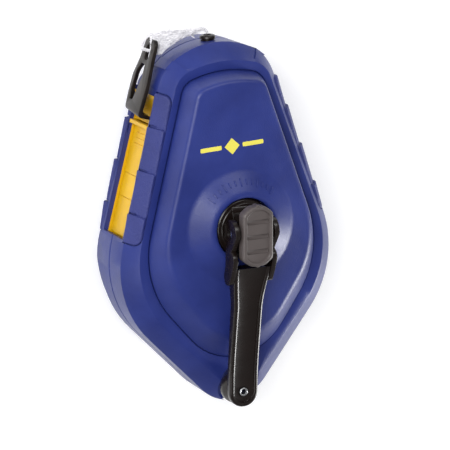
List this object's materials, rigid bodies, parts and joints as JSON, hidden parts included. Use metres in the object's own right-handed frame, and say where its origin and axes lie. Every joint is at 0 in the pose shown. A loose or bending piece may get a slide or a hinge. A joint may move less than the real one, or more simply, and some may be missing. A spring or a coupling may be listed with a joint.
{
  "type": "chalk line reel",
  "caption": "Pear-shaped clamshell chalk line reel with a geared fold-flat crank, a centre release button, a sliding chalk door and a line hook.",
  "frame": {"origin": "crank axis, in the plane of the rear face that the reel lies on", "axes": "+Z out of the crank side, +Y towards the line mouth, +X to the right seen from the crank side"},
  "size_m": [0.0864, 0.142, 0.0625],
  "materials": {
    "case_blue": "fine moulded texture",
    "grip_blue": "coarse moulded grip texture",
    "door_yellow": "satin",
    "crank_black": "semi-gloss",
    "button_grey": "satin",
    "steel": "zinc plated",
    "hook_black": "oiled black steel",
    "line_white": "twisted cotton and polyester line",
    "felt": "pressed felt",
    "gear_plastic": "natural acetal",
    "spool_plastic": "moulded",
    "brass": "sintered"
  },
  "bodies": {
    "case": {"rear_shell": "case_blue", "front_shell": "case_blue", "front_panel": "case_blue", "left_grip_front": "grip_blue", "left_grip_rear": "grip_blue", "right_grip_front": "grip_blue", "right_grip_rear": "grip_blue", "case_screw_1": "steel", "case_screw_2": "steel", "case_screw_3": "steel", "case_screw_4": "steel", "case_screw_5": "steel", "case_screw_6": "steel", "mouth_guide": "crank_black", "felt_pad_front": "felt", "felt_pad_rear": "felt", "door_track": "door_yellow", "gear_plate": "gear_plastic", "partition_seal": "felt", "ring_gear": "gear_plastic", "spool_axle": "steel", "rear_bush": "brass", "line_lead": "line_white"},
    "door": {"fill_door": "door_yellow"},
    "spool": {"spool": "spool_plastic", "line_winding": "line_white", "sun_gear": "brass"},
    "crank": {"crank_hub": "crank_black", "planet_carrier": "gear_plastic", "carrier_screw": "steel", "planet_pin_1": "steel", "planet_pin_2": "steel", "planet_pin_3": "steel", "hinge_pin": "steel", "clutch_spring": "steel"},
    "planet_1": {"planet_gear_1": "gear_plastic"},
    "planet_2": {"planet_gear_2": "gear_plastic"},
    "planet_3": {"planet_gear_3": "gear_plastic"},
    "button": {"release_button": "button_grey"},
    "clutch": {"clutch_pin": "steel"},
    "arm": {"crank_arm": "crank_black", "knob_rivet": "steel"},
    "knob": {"crank_knob": "crank_black"},
    "hook": {"hook": "hook_black"}
  },
  "joints": [
    {"name": "crank_spin", "type": "hinge", "parent": "case", "child": "crank", "pos_m": [0, 0, 0.0508], "axis": [0, 0, 1], "continuous": true},
    {"name": "spool_spin", "type": "hinge", "parent": "case", "child": "spool", "pos_m": [0, 0, 0.02], "axis": [0, 0, 1], "continuous": true},
    {"name": "planet_1_spin", "type": "hinge", "parent": "crank", "child": "planet_1", "pos_m": [0, 0.0126, 0.0337], "axis": [0, 0, 1], "continuous": true},
    {"name": "planet_2_spin", "type": "hinge", "parent": "crank", "child": "planet_2", "pos_m": [-0.01091, -0.0063, 0.0337], "axis": [0, 0, 1], "continuous": true},
    {"name": "planet_3_spin", "type": "hinge", "parent": "crank", "child": "planet_3", "pos_m": [0.01091, -0.0063, 0.0337], "axis": [0, 0, 1], "continuous": true},
    {"name": "arm_fold", "type": "hinge", "parent": "crank", "child": "arm", "pos_m": [0, 0, 0.0566], "axis": [-0.9981, 0.061, 0], "range_deg": [0, 180]},
    {"name": "knob_spin", "type": "hinge", "parent": "arm", "child": "knob", "pos_m": [-0.00378, -0.06178, 0.044], "axis": [0, 0, 1], "continuous": true},
    {"name": "release_slide", "type": "slide", "parent": "crank", "child": "button", "axis": [0.061, 0.9981, 0], "range_m": [0, 0.0022], "stiffness_N_per_m": 250, "springref_m": -0.002},
    {"name": "clutch_slide", "type": "slide", "parent": "crank", "child": "clutch", "axis": [0, 0, 1], "range_m": [0, 0.0015], "deforming": ["clutch_spring"]},
    {"name": "door_slide", "type": "slide", "parent": "case", "child": "door", "axis": [-0.3099, -0.9508, 0], "range_m": [0, 0.01]},
    {"name": "hook_swing", "type": "hinge", "parent": "case", "child": "hook", "pos_m": [-0.0218, 0.06419, 0.0261], "axis": [0, 0, -1], "range_deg": [0, 50]}
  ],
  "couplings": [
    {"joint": "spool_spin", "follows": "crank_spin", "ratio": 3},
    {"joint": "planet_1_spin", "follows": "crank_spin", "ratio": -4},
    {"joint": "planet_2_spin", "follows": "crank_spin", "ratio": -4},
    {"joint": "planet_3_spin", "follows": "crank_spin", "ratio": -4},
    {"joint": "clutch_slide", "follows": "release_slide", "ratio": 0.68}
  ]
}
